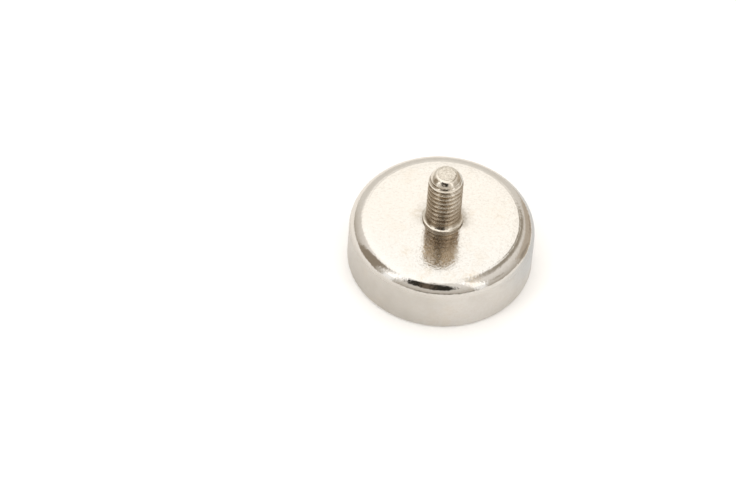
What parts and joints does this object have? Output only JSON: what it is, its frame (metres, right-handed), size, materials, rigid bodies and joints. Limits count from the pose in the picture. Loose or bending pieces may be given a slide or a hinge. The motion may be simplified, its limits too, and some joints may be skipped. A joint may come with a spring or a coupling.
{
  "type": "pot magnet",
  "caption": "Shallow round steel cup with a potted disc magnet in its open side and a short threaded stud on its closed back.",
  "frame": {"origin": "centre of the contact face, on the plane of the cup's rim, which the magnet stands on", "axes": "+Z along the stud, from the contact face to the stud's tip; X and Y across the cup, with no preferred direction"},
  "size_m": [0.025, 0.025, 0.017],
  "materials": {
    "cup_nickel": "satin nickel plating with faint mottling, brighter on the shoulder",
    "magnet_nickel": "fine sandy matt nickel plating, polished rounded edge",
    "potting_resin": "matt taupe potting resin",
    "stud_nickel": "bright nickel plating on a rolled thread"
  },
  "bodies": {
    "root": {"cup": "cup_nickel", "magnet": "magnet_nickel", "resin_ring": "potting_resin", "stud": "stud_nickel"}
  },
  "joints": []
}
